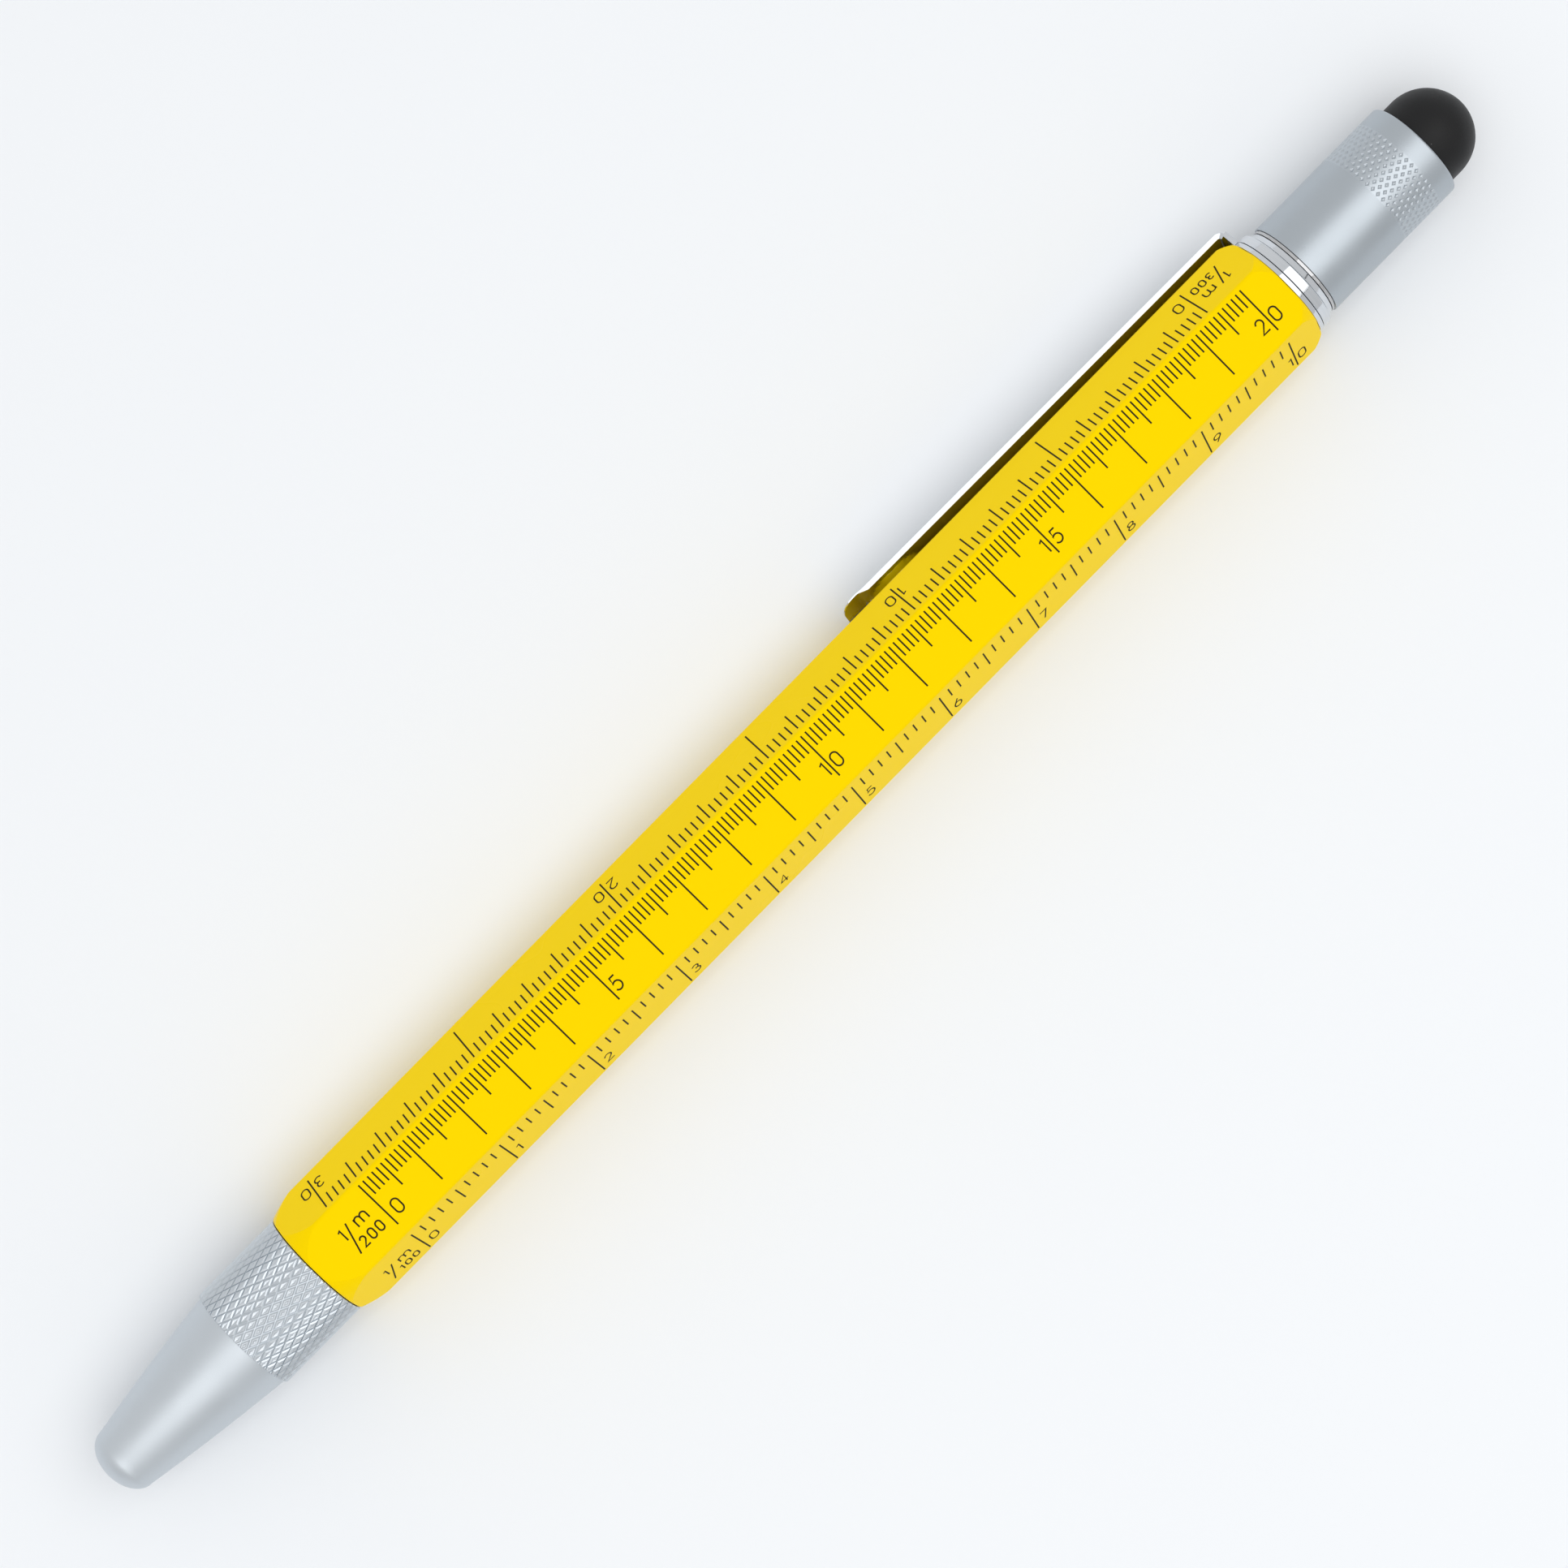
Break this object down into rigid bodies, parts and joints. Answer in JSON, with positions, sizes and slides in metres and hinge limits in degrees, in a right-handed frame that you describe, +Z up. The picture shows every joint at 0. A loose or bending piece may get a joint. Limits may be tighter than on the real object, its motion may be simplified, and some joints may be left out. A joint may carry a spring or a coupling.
{
  "type": "multi tool pen",
  "caption": "Hexagonal pen with scale rulers on its flats, a pocket clip, a screw cap over a fountain nib, and a stylus cap over a reversible screwdriver bit.",
  "frame": {"origin": "under the middle of the bounding box, on the surface the pen lies on", "axes": "+X along the pen from the front cap to the stylus, +Y to the clip's side, +Z up"},
  "size_m": [0.1556, 0.0126, 0.0104],
  "materials": {
    "yellow_lacquer": "satin",
    "satin_silver": "satin",
    "chrome": "polished",
    "steel": "brushed",
    "brass": "turned",
    "rubber": "matte",
    "black_plastic": "gloss",
    "liner_plastic": "matte",
    "clear_plastic": "clear"
  },
  "bodies": {
    "barrel": {"barrel": "yellow_lacquer", "front_bushing": "brass", "rear_bushing": "brass", "clip_ring": "chrome", "collar": "chrome", "tool_stem": "steel", "stem_seal": "rubber"},
    "clip": {"clip_arm": "chrome"},
    "section": {"grip_section": "black_plastic", "section_seal": "rubber", "nib_housing": "black_plastic", "nib": "steel", "feed": "black_plastic", "converter_tube": "clear_plastic", "converter_sleeve": "chrome"},
    "filler_knob": {"converter_knob": "black_plastic"},
    "filler_piston": {"converter_piston": "rubber", "converter_rod": "steel"},
    "front_cap_liner": {"cap_liner": "liner_plastic"},
    "front_cap": {"cap_shell": "satin_silver"},
    "bit": {"driver_bit": "steel", "bit_ring": "rubber"},
    "stylus": {"stylus_core": "black_plastic", "stylus_tip": "rubber", "cap_insert": "brass"},
    "stylus_sleeve": {"stylus_cap": "satin_silver"}
  },
  "joints": [
    {"name": "clip_flex", "type": "hinge", "parent": "barrel", "child": "clip", "pos_m": [0.05633, 0.00447, 0.00291], "axis": [0, -0.4118, -0.9113], "range_deg": [0, 4], "stiffness_Nm_per_rad": 0.2, "springref_deg": -0.57},
    {"name": "section_pull", "type": "slide", "parent": "barrel", "child": "section", "axis": [-1, 0, 0], "range_m": [0, 0.066]},
    {"name": "cap_pull", "type": "slide", "parent": "section", "child": "front_cap_liner", "axis": [-1, 0, 0], "range_m": [0, 0.026]},
    {"name": "cap_turn", "type": "hinge", "parent": "front_cap_liner", "child": "front_cap", "pos_m": [-0.05407, -0.00064, 0.00521], "axis": [-1, 0, 0], "range_deg": [0, 540]},
    {"name": "filler_turn", "type": "hinge", "parent": "section", "child": "filler_knob", "pos_m": [-0.00877, -0.00064, 0.00521], "axis": [1, 0, 0], "range_deg": [0, 1404]},
    {"name": "filler_stroke", "type": "slide", "parent": "section", "child": "filler_piston", "axis": [-1, 0, 0], "range_m": [0, 0.0195]},
    {"name": "bit_pull", "type": "slide", "parent": "barrel", "child": "bit", "axis": [1, 0, 0], "range_m": [0, 0.028]},
    {"name": "stylus_pull", "type": "slide", "parent": "bit", "child": "stylus", "axis": [1, 0, 0], "range_m": [0, 0.014]},
    {"name": "stylus_turn", "type": "hinge", "parent": "stylus", "child": "stylus_sleeve", "pos_m": [0.05867, -0.00064, 0.00521], "axis": [1, 0, 0], "range_deg": [0, 720]}
  ],
  "couplings": [
    {"joint": "filler_turn", "follows": "filler_stroke", "rad_per_m": 1256.6}
  ]
}
